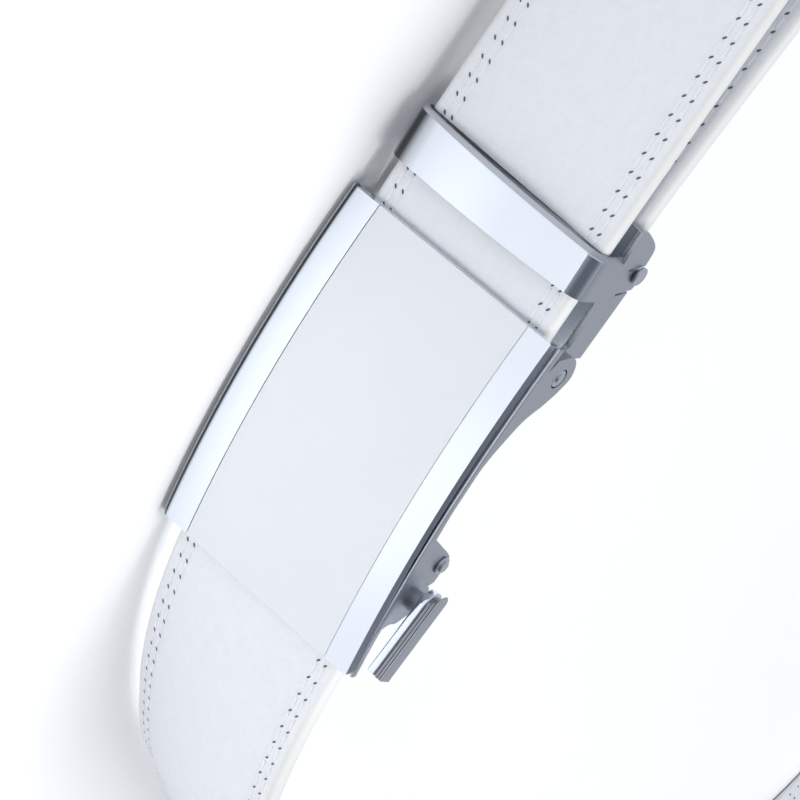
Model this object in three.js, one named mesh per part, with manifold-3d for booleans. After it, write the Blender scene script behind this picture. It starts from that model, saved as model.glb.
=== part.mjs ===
// A ratchet belt with a plate buckle, fastened and standing on its edge.
// The buckle faces -Y, the waist is behind it and the free tail points to -X. Millimetres, +Z up.
// Shapes are drawn in the buckle's frame: origin under the plate's middle, y from the plate's end edges.
import * as THREE from "three";
import { mergeVertices } from "three/addons/utils/BufferGeometryUtils.js";
import Module from "manifold-3d";

const wasm = await Module();
wasm.setup();

// Strap
const strapWidth = 35;
const strapThickness = 3.2;
const strapEdgeBevel = 0.7;
const tailLength = 150; // free end past the buckle plate
const tipLength = 16; // rounded stretch of the free end
const loopDepth = 400; // front to back size that the waist loop's bends follow
const levelStretch = 60; // strap kept at the buckle's height on each side of it
const settleStretch = 260; // then it sinks to the surface over this length

// Toothed track on the tail's inner face
const trackWidth = 8;
const trackBase = 0.6;
const toothHeight = 1;
const toothPitch = 6.35;
const toothFace = 0.3; // run of the steep face
const trackFromTip = 28;
const trackPastPlate = 48;

// Buckle plate
const plateLength = 60.4;
const plateRise = 2.95; // how far the middle stands proud of the ends
const plateThickness = 1.3;
const inlayWidth = 29.7;
const inlayThickness = 0.5;

// Frame casting behind the plate
const wallThickness = 1.8;
const webThickness = 0.6;
const webFromEnds = 8;
const ledgeWidth = 0.5;
const ledgeStep = 0.8; // ledge below the plate's face
const lugRadius = 3.5;
const lugEdge = 2; // wall left behind a pin's axis

// Pins
const hingeInset = 5.5; // hinge axis from the plate's end
const hingeBehindStrap = 1.35; // pins' axes behind the strap's inner face
const hingePinRadius = 1.5;
const pawlPinRadius = 1;
const clampPinRadius = 0.95;
const pinHeadRadius = 1.55;
const pinHeadHeight = 0.6;

// Pawl
const pawlReach = 7.3; // tooth tip ahead of its pin
const pawlThickness = 1.4;
const pawlWidth = 16;
const pawlKnuckleRadius = 1.9;

// Release lever
const leverAheadOfPins = 0.7;
const leverShaftRadius = 2.2;
const leverLength = 14.6;
const leverWidth = 4.6;
const leverThickness = 2;
const leverTurn = -12.5; // degrees
const leverBehindPivot = 2.6;

// Strap clamp with its keeper loop, drawn from the hinge axis along its own tilted frame
const clampTurn = -3; // degrees
const clampLength = 24.4;
const clampRim = 1.5; // rim behind the hinge axis
const clampEdge = 0.75; // wall left behind the clamp pin's axis
const clampWall = 1;
const clampFloor = 0.8;
const floorBelowRim = 1;
const knuckleRadius = 2.9;
const slotWidth = 0.4;
const slotBelowRim = 0.5;
const keeperWidth = 8.8;
const keeperBar = 1.25;
const keeperCorner = 3;
const floorFrom = 2.4; // floor's near edge behind the hinge axis
const endBarInset = 1.9; // end bar's far edge inside the clamp's end
const endBarWidth = 2;
const endBarThickness = 0.9;
const flapThickness = 1;
const flapBarrelRadius = 1.4;
const rawEndBack = 4; // strap's raw end and the flap's edge, behind the hinge axis

// Clearances
const seat = 0.1; // between pieces that stay still
const glueLine = 0.2; // between the strap and its track
const run = 0.05; // between a pin and its bore
const slide = 0.2; // over and under the strap
const sideClear = 0.3;
const lugGap = 0.2; // between the clamp and the buckle's lugs
const plateGap = 0.35; // between the plate's ends and the strap
const flapGap = 0.15;

// Sizes that follow from these
const halfLength = plateLength / 2;
const plateRadius = (halfLength ** 2 + plateRise ** 2) / (2 * plateRise);
const clampHalf = strapWidth / 2 + sideClear + clampWall;
const plateHeight = 2 * (clampHalf + lugGap + wallThickness);
const middleZ = plateHeight / 2;
const hingeX = -halfLength + hingeInset;
const hingeY = plateThickness + plateGap + strapThickness + hingeBehindStrap;
const pawlPinX = 0.311 * halfLength;
const pawlPinY = hingeY;
const leverX = 0.536 * halfLength;
const leverY = hingeY - leverAheadOfPins;
const wallDepth = hingeY + lugEdge;
const strapUnderFloor = clampRim + floorBelowRim + clampFloor + seat;
const flapTop = strapUnderFloor + strapThickness + flapGap;
const clampPinBack = 0.697 * clampLength;
const clampPinDepth = flapTop + flapBarrelRadius;
const clampDepth = clampPinDepth + clampEdge - clampRim;
const keeperStart = 0.496 * clampLength;
const keeperRise = clampRim + hingeBehindStrap + strapThickness + slide + keeperBar;
const strapInClamp = clampLength - endBarWidth - rawEndBack;
const roundSteps = 24;

const finishes = {
  leather: { color: 0xe9ecf1, roughness: 0.55, metalness: 0 },
  nylon: { color: 0xd9dbdf, roughness: 0.5, metalness: 0 },
  chrome: { color: 0xd5dae0, roughness: 0.12, metalness: 1 },
  casting: { color: 0x9a9da6, roughness: 0.4, metalness: 1 },
  satin: { color: 0xe4e8ee, roughness: 0.45, metalness: 0 },
};

const radians = THREE.MathUtils.degToRad;

function toSolid(geometry) {
  const bare = geometry.clone();
  bare.deleteAttribute("normal");
  bare.deleteAttribute("uv");
  const merged = mergeVertices(bare, 1e-4);
  const vertProperties = new Float32Array(merged.attributes.position.array);
  const triVerts = new Uint32Array(merged.index.array);
  return new wasm.Manifold(new wasm.Mesh({ numProp: 3, vertProperties, triVerts }));
}

function toGeometry(solid) {
  const { vertProperties, triVerts } = solid.getMesh();
  const geometry = new THREE.BufferGeometry();
  geometry.setAttribute("position", new THREE.BufferAttribute(vertProperties, 3));
  geometry.setIndex(new THREE.BufferAttribute(triVerts, 1));
  geometry.computeVertexNormals();
  return geometry;
}

function join(...solids) {
  return solids.reduce((sum, solid) => sum.add(solid));
}

function piece(name, shape, finish) {
  const geometry = shape.isBufferGeometry ? shape : toGeometry(shape);
  const mesh = new THREE.Mesh(geometry, new THREE.MeshStandardMaterial(finishes[finish]));
  mesh.name = name;
  return mesh;
}

// An outline in x and y, pulled up from one height to another.
function prism(outline, low, high) {
  const shape = outline instanceof THREE.Shape ? outline : new THREE.Shape(outline);
  const options = { depth: high - low, bevelEnabled: false, curveSegments: roundSteps };
  return toSolid(new THREE.ExtrudeGeometry(shape, options).translate(0, 0, low));
}

function point([x, y]) {
  return new THREE.Vector2(x, y);
}

function rod(x, y, radius, low, high, sides = roundSteps) {
  const geometry = new THREE.CylinderGeometry(radius, radius, high - low, sides);
  return toSolid(geometry.rotateX(Math.PI / 2).translate(x, y, (low + high) / 2));
}

function block(x0, x1, y0, y1, z0, z1) {
  const geometry = new THREE.BoxGeometry(x1 - x0, y1 - y0, z1 - z0);
  return toSolid(geometry.translate((x0 + x1) / 2, (y0 + y1) / 2, (z0 + z1) / 2));
}

// The y of the plate's curved face, sunk by a depth.
function plateFace(x, depth) {
  return plateRadius - plateRise - Math.sqrt((plateRadius - depth) ** 2 - x ** 2);
}

// A curved slab that follows the plate between two depths under its face.
function curvedSlab(front, back, x0, x1, low, high) {
  const steps = Math.ceil(roundSteps * (x1 - x0) / plateLength);
  const xs = Array.from({ length: steps + 1 }, (_, i) => x0 + ((x1 - x0) * i) / steps);
  const face = xs.map((x) => point([x, plateFace(x, front)]));
  const rear = xs.map((x) => point([x, plateFace(x, back)])).reverse();
  return prism([...face, ...rear], low, high);
}

// The strap's line, seen from above, in its order from the clamp round the waist to the tip.
// Lengths are shares of the loop's depth; null marks the two straights that close the loop.
const clampFrame = { x: hingeX, y: hingeY, turn: radians(clampTurn) };

function fromClamp(back, depth) {
  const along = new THREE.Vector2(-back, depth).rotateAround(new THREE.Vector2(), clampFrame.turn);
  return along.add(new THREE.Vector2(clampFrame.x, clampFrame.y));
}

const plateSag = 0.053 * halfLength; // rise of the strap's arc under the plate
const archTurn = -2 * THREE.MathUtils.radToDeg(2 * Math.atan(plateSag / halfLength));
const entry = new THREE.Vector2(halfLength, plateThickness + plateGap + strapThickness / 2);

const waistRuns = [
  { run: "clamp end", length: 0.02, turn: -11, lean: 0 },
  { run: "beside the tail", length: 0.105, turn: -1.5, lean: 0 },
  { run: "left hip", length: 0.375, turn: -98.5, lean: 0 },
  { run: "left side", length: null, turn: 0, lean: 0 },
  { run: "back left", length: 0.25, turn: -27, lean: 0 },
  { run: "back", length: null, turn: 0, lean: 0 },
  { run: "back right", length: 0.26, turn: -141, lean: 0 },
  { run: "right side", length: 0.64, turn: 0, lean: 4 },
  { run: "right hip", length: 0.1, turn: -22, lean: 8 },
  { run: "front right", length: 0.15, turn: -5, lean: 14 },
  { run: "shoulder", length: 0.05, turn: -18, lean: 13 },
  { run: "plate end", length: 0.1, turn: -27, lean: 1 },
];

const tailRuns = [
  { run: "to the keeper", length: 0.11, turn: -1.2, lean: 0 },
  { run: "past the keeper", length: 0.27, turn: -1.8, lean: 0 },
  { run: "free end", length: 0.62, turn: -44, lean: 0 },
];

function arcStep(start, heading, length, turn) {
  const chord = Math.abs(turn) < 1e-9 ? length : (length * Math.sin(turn / 2)) / (turn / 2);
  const aim = heading + turn / 2;
  return start.clone().add(new THREE.Vector2(Math.cos(aim), Math.sin(aim)).multiplyScalar(chord));
}

// Solves the two open straights so that the loop ends at the buckle plate.
function closedRuns(start, heading) {
  const sized = waistRuns.map((row) => ({ ...row, length: (row.length ?? 0) * loopDepth }));
  const open = [];
  let end = start;
  let aim = heading;
  waistRuns.forEach((row, i) => {
    if (row.length === null) open.push({ index: i, aim });
    end = arcStep(end, aim, sized[i].length, radians(row.turn));
    aim += radians(row.turn);
  });
  const gap = entry.clone().sub(end);
  const [a, b] = open.map((row) => new THREE.Vector2(Math.cos(row.aim), Math.sin(row.aim)));
  sized[open[0].index].length = gap.cross(b) / a.cross(b);
  sized[open[1].index].length = a.cross(gap) / a.cross(b);
  return sized;
}

function layStrap() {
  const start = fromClamp(clampLength - endBarWidth, strapUnderFloor + strapThickness / 2);
  const heading = Math.PI + clampFrame.turn;
  const rawEnd = arcStep(start, heading, -strapInClamp, 0);
  const arch = halfLength * 2 * (1 + (2 / 3) * (plateSag / halfLength) ** 2);
  const rows = [
    { run: "in the clamp", length: strapInClamp, turn: 0, lean: 0 },
    ...closedRuns(start, heading),
    { run: "under the plate", length: arch, turn: archTurn, lean: 0 },
    ...tailRuns.map((row) => ({ ...row, length: row.length * tailLength })),
  ];
  let place = rawEnd;
  let aim = heading;
  let travelled = 0;
  let lean = 0;
  return rows.map((row) => {
    const turn = radians(row.turn);
    const laid = { ...row, place, aim, turn, from: travelled, leanFrom: lean };
    place = arcStep(place, aim, row.length, turn);
    aim += turn;
    travelled += row.length;
    lean = row.lean;
    return laid;
  });
}

const strapRuns = layStrap();
const runNamed = (name) => strapRuns.find((row) => row.run === name);
const strapLength = strapRuns.reduce((sum, row) => sum + row.length, 0);
const plateRun = runNamed("under the plate");
const plateMiddle = plateRun.from + plateRun.length / 2;

// How high the strap's middle line stands: level at the buckle, on the surface at the back.
function strapHeight(travelled) {
  const away = Math.min(travelled - strapInClamp, plateRun.from - travelled);
  const settled = THREE.MathUtils.smoothstep(away, levelStretch, levelStretch + settleStretch);
  return THREE.MathUtils.lerp(middleZ, strapWidth / 2, settled);
}

// The strap's place, and its directions across its width and out of its face.
function strapFrame(travelled) {
  const row = strapRuns.findLast((each) => each.from <= travelled + 1e-6);
  const share = row.length ? (travelled - row.from) / row.length : 0;
  const flat = arcStep(row.place, row.aim, share * row.length, share * row.turn);
  const aim = row.aim + share * row.turn;
  const lean = radians(THREE.MathUtils.lerp(row.leanFrom, row.lean, share));
  const out = new THREE.Vector3(-Math.sin(aim), Math.cos(aim), 0);
  const up = new THREE.Vector3(0, 0, 1);
  return {
    place: new THREE.Vector3(flat.x, flat.y, strapHeight(travelled)),
    across: up.clone().multiplyScalar(Math.cos(lean)).addScaledVector(out, Math.sin(lean)),
    out: out.clone().multiplyScalar(Math.cos(lean)).addScaledVector(up, -Math.sin(lean)),
  };
}

// A closed body through sections that are rings of [across, out] pairs.
function loft(sections) {
  const sides = sections[0].ring.length;
  const positions = sections.flatMap(({ travelled, ring }) => {
    const { place, across, out } = strapFrame(travelled);
    return ring.flatMap(([w, n]) =>
      place.clone().addScaledVector(across, w).addScaledVector(out, n).toArray(),
    );
  });
  const index = [];
  for (let i = 0; i < sections.length - 1; i++) {
    for (let j = 0; j < sides; j++) {
      const a = i * sides + j;
      const b = i * sides + ((j + 1) % sides);
      index.push(a, b, a + sides, b, b + sides, a + sides);
    }
  }
  const last = (sections.length - 1) * sides;
  for (let j = 1; j < sides - 1; j++) {
    index.push(0, j + 1, j);
    index.push(last, last + j, last + j + 1);
  }
  const geometry = new THREE.BufferGeometry();
  geometry.setAttribute("position", new THREE.Float32BufferAttribute(positions, 3));
  geometry.setIndex(index);
  geometry.computeVertexNormals();
  return geometry;
}

function strapRing(halfWidth) {
  const w = halfWidth;
  const n = strapThickness / 2;
  const b = strapEdgeBevel;
  return [
    [-w, -n + b], [-w, n - b], [-w + b, n], [w - b, n],
    [w, n - b], [w, -n + b], [w - b, -n], [-w + b, -n],
  ];
}

function strap() {
  const longStep = 12;
  const turnStep = radians(2);
  const stops = [];
  const tipStart = strapLength - tipLength;
  for (const row of strapRuns) {
    const steps = Math.ceil(Math.max(row.length / longStep, Math.abs(row.turn) / turnStep, 1));
    for (let i = 0; i < steps; i++) stops.push(row.from + (row.length * i) / steps);
  }
  const body = stops.filter((stop) => stop < tipStart - 1);
  const sections = body.map((travelled) => ({ travelled, ring: strapRing(strapWidth / 2) }));
  const tipSteps = 7;
  const bluntAngle = 82; // where the rounded tip is cut flat, in degrees
  for (let i = 0; i <= tipSteps; i++) {
    const angle = radians((bluntAngle * i) / tipSteps);
    const travelled = tipStart + tipLength * (Math.sin(angle) / Math.sin(radians(bluntAngle)));
    sections.push({ travelled, ring: strapRing((strapWidth / 2) * Math.cos(angle)) });
  }
  return piece("strap", loft(sections), "leather");
}

// Teeth ramp up along the strap's travel, so it only slips the way that tightens the belt.
function ratchetTrack() {
  const inner = -strapThickness / 2 - glueLine;
  const w = trackWidth / 2;
  const ring = (height) => [
    [-w, inner - trackBase - height], [-w, inner], [w, inner], [w, inner - trackBase - height],
  ];
  const tip = plateMiddle - (pawlPinX - pawlReach);
  const first = Math.ceil((plateRun.from - trackPastPlate - tip) / toothPitch);
  const last = Math.floor((strapLength - trackFromTip - tip) / toothPitch);
  const sections = [];
  for (let tooth = first; tooth < last; tooth++) {
    const travelled = tip + tooth * toothPitch;
    sections.push({ travelled, ring: ring(0) });
    sections.push({ travelled: travelled + toothFace, ring: ring(toothHeight) });
  }
  sections.push({ travelled: tip + last * toothPitch, ring: ring(0) });
  return piece("ratchet_track", loft(sections), "nylon");
}

function facePlate() {
  const low = ledgeWidth + seat;
  const plate = curvedSlab(0, plateThickness, -halfLength, halfLength, low, plateHeight - low);
  const pocketHalf = inlayWidth / 2 + seat;
  const pocketBack = inlayThickness + seat;
  const over = 1; // the cutter's reach past the plate
  const x = halfLength + over;
  const pocket = curvedSlab(-over, pocketBack, -x, x, middleZ - pocketHalf, middleZ + pocketHalf);
  return piece("face_plate", plate.subtract(pocket), "chrome");
}

function faceInlay() {
  const half = inlayWidth / 2;
  const slab = curvedSlab(0, inlayThickness, -halfLength, halfLength, middleZ - half, middleZ + half);
  return piece("face_inlay", slab, "satin");
}

// Rear outline of the side wall from the hinge lug to the finger recess:
// x as a share of the plate's half length, y as a share of the wall's depth.
const wallOutline = [
  { x: -0.72, y: 1 }, { x: -0.656, y: 0.756 }, { x: -0.573, y: 0.39 }, { x: -0.444, y: 0.134 },
  { x: -0.325, y: -0.037 }, { x: -0.199, y: -0.085 }, { x: -0.05, y: -0.098 },
  { x: 0.129, y: -0.049 }, { x: 0.152, y: 0.122 }, { x: 0.189, y: 0.39 }, { x: 0.232, y: 0.707 },
  { x: 0.272, y: 0.927 }, { x: 0.318, y: 0.988 }, { x: 0.427, y: 0.951 }, { x: 0.45, y: 0.805 },
  { x: 0.47, y: 0.927 }, { x: 0.536, y: 1 }, { x: 0.609, y: 0.878 }, { x: 0.639, y: 0.671 },
  { x: 0.672, y: 0.463 }, { x: 0.669, y: 0.28 }, { x: 0.685, y: 0.122 }, { x: 0.715, y: 0.024 },
];
const windowX = -0.845; // wall's edge beside the hinge window, a share of the half length

function sideWall(low, high, bores) {
  const back = plateThickness + seat;
  const rear = wallOutline.map((row) => point([row.x * halfLength, row.y * wallDepth]));
  const end = rear[rear.length - 1].x;
  const start = windowX * halfLength;
  const steps = 16;
  const front = Array.from({ length: steps + 1 }, (_, i) => {
    const x = end + ((start - end) * i) / steps;
    return point([x, plateFace(x, back)]);
  });
  const wall = prism([...rear, ...front, point([start, hingeY])], low, high);
  return join(wall, rod(hingeX, hingeY, lugRadius, low, high)).subtract(bores);
}

function buckleFrame() {
  const front = plateThickness + seat;
  const back = front + webThickness;
  const over = 1;
  const hingeBore = rod(hingeX, hingeY, hingePinRadius + run, -over, plateHeight + over);
  const pawlBore = rod(pawlPinX, pawlPinY, pawlPinRadius + run, -over, plateHeight + over);
  const leverBore = rod(leverX, leverY, leverShaftRadius + run, middleZ, plateHeight + over);
  const bores = join(hingeBore, pawlBore, leverBore);
  const inner = halfLength - webFromEnds;
  const sides = [
    { low: 0, high: wallThickness, lip: 0 },
    { low: plateHeight - wallThickness, high: plateHeight, lip: plateHeight - ledgeWidth },
  ];
  const parts = sides.flatMap(({ low, high, lip }) => [
    sideWall(low, high, bores),
    curvedSlab(front, back, -halfLength, halfLength, low, high),
    curvedSlab(ledgeStep, back, -halfLength, halfLength, lip, lip + ledgeWidth),
  ]);
  const web = curvedSlab(front, back, -inner, inner, wallThickness / 2, plateHeight - wallThickness / 2);
  return piece("buckle_frame", join(web, ...parts), "casting");
}

// Short rivets join the buckle's lugs to the clamp, clear of the strap between them.
function hingeRivet(name, upper) {
  const inner = middleZ + clampHalf - clampWall;
  const outer = plateHeight - seat;
  const [low, high] = upper ? [inner, outer] : [plateHeight - outer, plateHeight - inner];
  return piece(name, rod(hingeX, hingeY, hingePinRadius, low, high), "chrome");
}

function pawlPin() {
  const shaft = rod(pawlPinX, pawlPinY, pawlPinRadius, seat, plateHeight + pinHeadHeight);
  const low = plateHeight + run;
  const head = rod(pawlPinX, pawlPinY, pinHeadRadius, low, plateHeight + pinHeadHeight);
  return piece("pawl_pin", join(shaft, head), "chrome");
}

// One plain piece: its tip stands in a tooth valley and its two knuckles ride on the pin.
function pawl() {
  const tipX = pawlPinX - pawlReach + run;
  const innerFace = plateFaceOfStrap(tipX);
  const tipY = innerFace + glueLine + trackBase + slide;
  const clearY = innerFace + glueLine + trackBase + toothHeight + slide;
  const halfWidth = pawlWidth / 2;
  const outline = [
    [tipX, tipY], [tipX + 0.5, tipY], [tipX + 1.4, clearY],
    [pawlPinX - pawlPinRadius - slide, clearY],
    [pawlPinX - pawlPinRadius - slide, clearY + pawlThickness], [tipX, clearY + pawlThickness],
  ];
  const plate = prism(outline.map(point), middleZ - halfWidth, middleZ + halfWidth);
  const armOutline = [
    [tipX + 2, clearY], [pawlPinX, pawlPinY - pawlKnuckleRadius + run],
    [pawlPinX, pawlPinY + pawlKnuckleRadius - run], [tipX + 2, clearY + pawlThickness],
  ];
  const armInner = trackWidth / 2 + 1;
  const arms = [-1, 1].map((side) => {
    const ends = [middleZ + side * armInner, middleZ + side * halfWidth];
    const [low, high] = ends.sort((a, b) => a - b);
    const knuckle = rod(pawlPinX, pawlPinY, pawlKnuckleRadius, low, high);
    return join(prism(armOutline.map(point), low, high), knuckle);
  });
  const bore = rod(pawlPinX, pawlPinY, pawlPinRadius + run, 0, plateHeight);
  return piece("pawl", join(plate, ...arms).subtract(bore), "casting");
}

// The y of the strap's inner face under the plate.
function plateFaceOfStrap(x) {
  const arcRadius = (halfLength ** 2 + plateSag ** 2) / (2 * plateSag);
  const middle = entry.y - plateSag;
  return middle + arcRadius - Math.sqrt(arcRadius ** 2 - x ** 2) + strapThickness / 2;
}

function releaseLever() {
  const low = plateHeight + 0.4;
  const radius = leverWidth / 2;
  const nearEnd = -leverBehindPivot;
  const tab = new THREE.Shape();
  tab.moveTo(nearEnd + leverLength, -radius);
  tab.lineTo(nearEnd + leverLength, radius);
  tab.lineTo(nearEnd + radius, radius);
  tab.absarc(nearEnd + radius, 0, radius, Math.PI / 2, (3 * Math.PI) / 2, false);
  const shaftEnd = middleZ + strapWidth / 2 + 2 * sideClear;
  const shaft = rod(0, 0, leverShaftRadius, shaftEnd, low + leverThickness / 2);
  const lever = piece("release_lever", join(prism(tab, low, low + leverThickness), shaft), "chrome");
  lever.position.set(leverX, leverY, 0);
  lever.rotation.z = radians(leverTurn);
  return lever;
}

// Outline of the clamp's side wall behind its rim:
// back as a share of the clamp's length, deep as a share of its depth.
const clampOutline = [
  { back: 0.99, deep: 0 }, { back: 1, deep: 0.15 }, { back: 0.965, deep: 0.47 },
  { back: 0.922, deep: 0.77 }, { back: 0.869, deep: 0.96 }, { back: 0.762, deep: 1 },
  { back: 0.75, deep: 1.09 }, { back: 0.615, deep: 1.09 }, { back: 0.582, deep: 0.96 },
  { back: 0.09, deep: 0.78 }, { back: 0.08, deep: 0.12 },
];

// The two slots that free the ear round the clamp pin: top and lower end along the clamp.
const earSlots = [{ top: 0.557, end: 0.585 }, { top: 0.732, end: 0.758 }];

function clampSideWall(low, high) {
  const outline = clampOutline.map(({ back, deep }) =>
    point([-back * clampLength, clampRim + deep * clampDepth]),
  );
  const arm = [point([0, hingePinRadius]), point([0, -hingePinRadius]), point([-4, clampRim])];
  const wall = join(prism([...outline, ...arm], low, high), rod(0, 0, knuckleRadius, low, high));
  const reach = clampDepth * 1.2;
  return earSlots.reduce((solid, { top, end }) => {
    const x0 = -top * clampLength;
    const x1 = -end * clampLength;
    const y0 = clampRim + slotBelowRim;
    const y1 = clampRim + reach;
    const x2 = x0 + (x1 - x0) * (reach / clampDepth);
    const slot = [[x0, y0], [x0 + slotWidth, y0], [x2 + slotWidth, y1], [x2, y1]].map(point);
    return solid.subtract(prism(slot, low - 1, high + 1));
  }, wall);
}

// A section drawn across the strap and up from the rim, run back along the clamp from one place.
function alongClamp(section, from, length, steps = 6) {
  const options = { depth: length, bevelEnabled: false, curveSegments: steps };
  const geometry = new THREE.ExtrudeGeometry(section, options);
  return toSolid(geometry.rotateY(-Math.PI / 2).rotateX(Math.PI).translate(-from, clampRim, middleZ));
}

// An arch with rounded corners, its legs rooted in the walls.
function arch(half, top, corner, root) {
  const shape = new THREE.Shape();
  shape.moveTo(-half, -root);
  shape.lineTo(-half, top - corner);
  shape.absarc(-half + corner, top - corner, corner, Math.PI, Math.PI / 2, true);
  shape.absarc(half - corner, top - corner, corner, Math.PI / 2, 0, true);
  shape.lineTo(half, -root);
  return shape;
}

function keeperLoop() {
  const root = floorBelowRim;
  const corner = keeperCorner - keeperBar;
  const bar = arch(clampHalf, keeperRise, keeperCorner, root);
  const hole = arch(clampHalf - clampWall, keeperRise - keeperBar, corner, 2 * root);
  return alongClamp(bar, keeperStart, keeperWidth).subtract(
    alongClamp(hole, keeperStart - 1, keeperWidth + 2),
  );
}

// The clamp's floor with a hollow fillet up each wall.
function clampFloorSection() {
  const half = clampHalf - clampWall / 2;
  const inner = clampHalf - clampWall;
  const shape = new THREE.Shape();
  shape.moveTo(-half, -floorBelowRim - clampFloor);
  shape.lineTo(half, -floorBelowRim - clampFloor);
  shape.lineTo(half, 0);
  shape.lineTo(inner, 0);
  shape.absarc(inner - floorBelowRim, 0, floorBelowRim, 0, -Math.PI / 2, true);
  shape.absarc(-inner + floorBelowRim, 0, floorBelowRim, -Math.PI / 2, -Math.PI, true);
  shape.lineTo(-half, 0);
  return shape;
}

function clampBody() {
  const low = middleZ - clampHalf;
  const high = middleZ + clampHalf;
  const inset = clampWall / 2; // cross pieces are rooted half way into the walls
  const walls = join(
    clampSideWall(low, low + clampWall),
    clampSideWall(high - clampWall, high),
  );
  const floor = alongClamp(clampFloorSection(), floorFrom, clampLength - floorFrom - inset);
  const barTop = strapUnderFloor + strapThickness + slide;
  const barEnd = -clampLength + endBarInset;
  const endBar = block(
    barEnd, barEnd + endBarWidth, barTop, barTop + endBarThickness, low + inset, high - inset,
  );
  const bores = join(
    rod(0, 0, hingePinRadius + run, low - 1, high + 1),
    rod(-clampPinBack, clampPinDepth, clampPinRadius + run, low - 1, high + 1),
  );
  const body = join(walls, floor, endBar, keeperLoop()).subtract(bores);
  return piece("clamp_body", body, "casting");
}

function clampPin() {
  const low = middleZ - clampHalf;
  const high = middleZ + clampHalf;
  const reach = pinHeadHeight + seat;
  const heads = [[low - reach, low - seat], [high + seat, high + reach]];
  const shaft = rod(-clampPinBack, clampPinDepth, clampPinRadius, low - reach, high + reach);
  const discs = heads.map(([z0, z1]) => rod(-clampPinBack, clampPinDepth, pinHeadRadius, z0, z1));
  return piece("clamp_pin", join(shaft, ...discs), "chrome");
}

// The jaw that holds the strap's raw end swings on the clamp pin, away from the strap.
function clampFlap() {
  const half = clampHalf - clampWall - sideClear;
  const low = middleZ - half;
  const high = middleZ + half;
  const plate = block(-clampPinBack, -rawEndBack, flapTop, flapTop + flapThickness, low, high);
  const knuckle = rod(-clampPinBack, clampPinDepth, flapBarrelRadius, low, high);
  const bore = rod(-clampPinBack, clampPinDepth, clampPinRadius + run, low - 1, high + 1);
  return piece("clamp_flap", join(plate, knuckle).subtract(bore), "casting");
}

const clamp = new THREE.Group();
clamp.position.set(clampFrame.x, clampFrame.y, 0);
clamp.rotation.z = clampFrame.turn;
clamp.add(clampBody(), clampPin(), clampFlap());

const buckle = new THREE.Group();
buckle.add(facePlate(), faceInlay(), buckleFrame(), pawlPin(), pawl(), releaseLever());
buckle.add(hingeRivet("hinge_rivet_upper", true), hingeRivet("hinge_rivet_lower", false), clamp);

const belt = new THREE.Group();
belt.add(buckle, strap(), ratchetTrack());

// The origin is the middle of the whole belt's outline, on the surface that it stands on.
belt.updateMatrixWorld(true);
const bounds = new THREE.Box3().setFromObject(belt, true);
const middle = bounds.getCenter(new THREE.Vector3());
belt.position.set(-middle.x, -middle.y, -bounds.min.z);

export default belt;
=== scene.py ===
"""Dresses the ratchet belt: stitched strap, polished buckle plate, lever, clamp and keeper loop."""

import math

import bmesh
import bpy
from mathutils import Matrix, Vector


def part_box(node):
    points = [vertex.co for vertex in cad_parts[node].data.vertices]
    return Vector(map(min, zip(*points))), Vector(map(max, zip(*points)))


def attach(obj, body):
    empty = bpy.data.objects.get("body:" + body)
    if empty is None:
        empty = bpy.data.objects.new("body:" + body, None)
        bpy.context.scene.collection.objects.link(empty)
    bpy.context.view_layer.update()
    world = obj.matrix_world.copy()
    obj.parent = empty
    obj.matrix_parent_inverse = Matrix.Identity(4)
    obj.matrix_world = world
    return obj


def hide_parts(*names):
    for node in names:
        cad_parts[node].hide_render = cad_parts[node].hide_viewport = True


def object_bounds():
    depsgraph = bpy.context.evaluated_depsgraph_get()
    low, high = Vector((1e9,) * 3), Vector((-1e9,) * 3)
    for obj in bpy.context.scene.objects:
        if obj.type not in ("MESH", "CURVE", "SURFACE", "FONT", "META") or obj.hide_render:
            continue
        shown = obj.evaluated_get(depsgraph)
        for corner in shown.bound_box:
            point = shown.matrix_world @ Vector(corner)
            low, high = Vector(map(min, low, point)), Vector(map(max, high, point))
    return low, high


bl_info = {
    "name": "Ratchet Belt",
    "version": (1, 0, 0),
    "blender": (4, 5, 0),
    "location": "View3D > Sidebar > Belt",
    "description": "Models a leather belt with a plate buckle around its packed solids",
    "category": "Add Mesh",
}

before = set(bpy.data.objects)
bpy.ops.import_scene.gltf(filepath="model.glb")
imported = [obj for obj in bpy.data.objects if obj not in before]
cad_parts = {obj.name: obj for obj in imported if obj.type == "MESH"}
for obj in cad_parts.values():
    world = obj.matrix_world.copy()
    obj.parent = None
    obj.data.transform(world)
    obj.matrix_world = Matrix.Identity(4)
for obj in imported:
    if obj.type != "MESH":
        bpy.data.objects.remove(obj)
CAD_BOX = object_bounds()

MM = 0.001

# The buckle's own frame, in mm: origin under the plate's middle, y from the plate's end edges.
PLATE_LOW, PLATE_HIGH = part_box("face_plate")
PLATE_LENGTH = (PLATE_HIGH.x - PLATE_LOW.x) / MM
HALF_LENGTH = PLATE_LENGTH / 2
PLATE_RISE = 2.95
PLATE_THICKNESS = 1.3
PANEL_WIDTH = 29.7
SLICE_STEP = 1.2  # between the cuts that let a flat piece be bowed
FRAME_LOW, FRAME_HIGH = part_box("buckle_frame")
HEIGHT = (FRAME_HIGH.z - FRAME_LOW.z) / MM
MIDDLE_Z = HEIGHT / 2
BUCKLE_ORIGIN = Vector(
    (
        (PLATE_LOW.x + PLATE_HIGH.x) / 2,
        PLATE_LOW.y + PLATE_RISE * MM,
        FRAME_LOW.z,
    )
)
TO_BELT = Matrix.Translation(BUCKLE_ORIGIN) @ Matrix.Scale(MM, 4)
PLATE_RADIUS = (HALF_LENGTH**2 + PLATE_RISE**2) / (2 * PLATE_RISE)
HINGE = Vector((-HALF_LENGTH + 5.5, 6.2, 0))
CLAMP_TURN = math.radians(-3)
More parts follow.
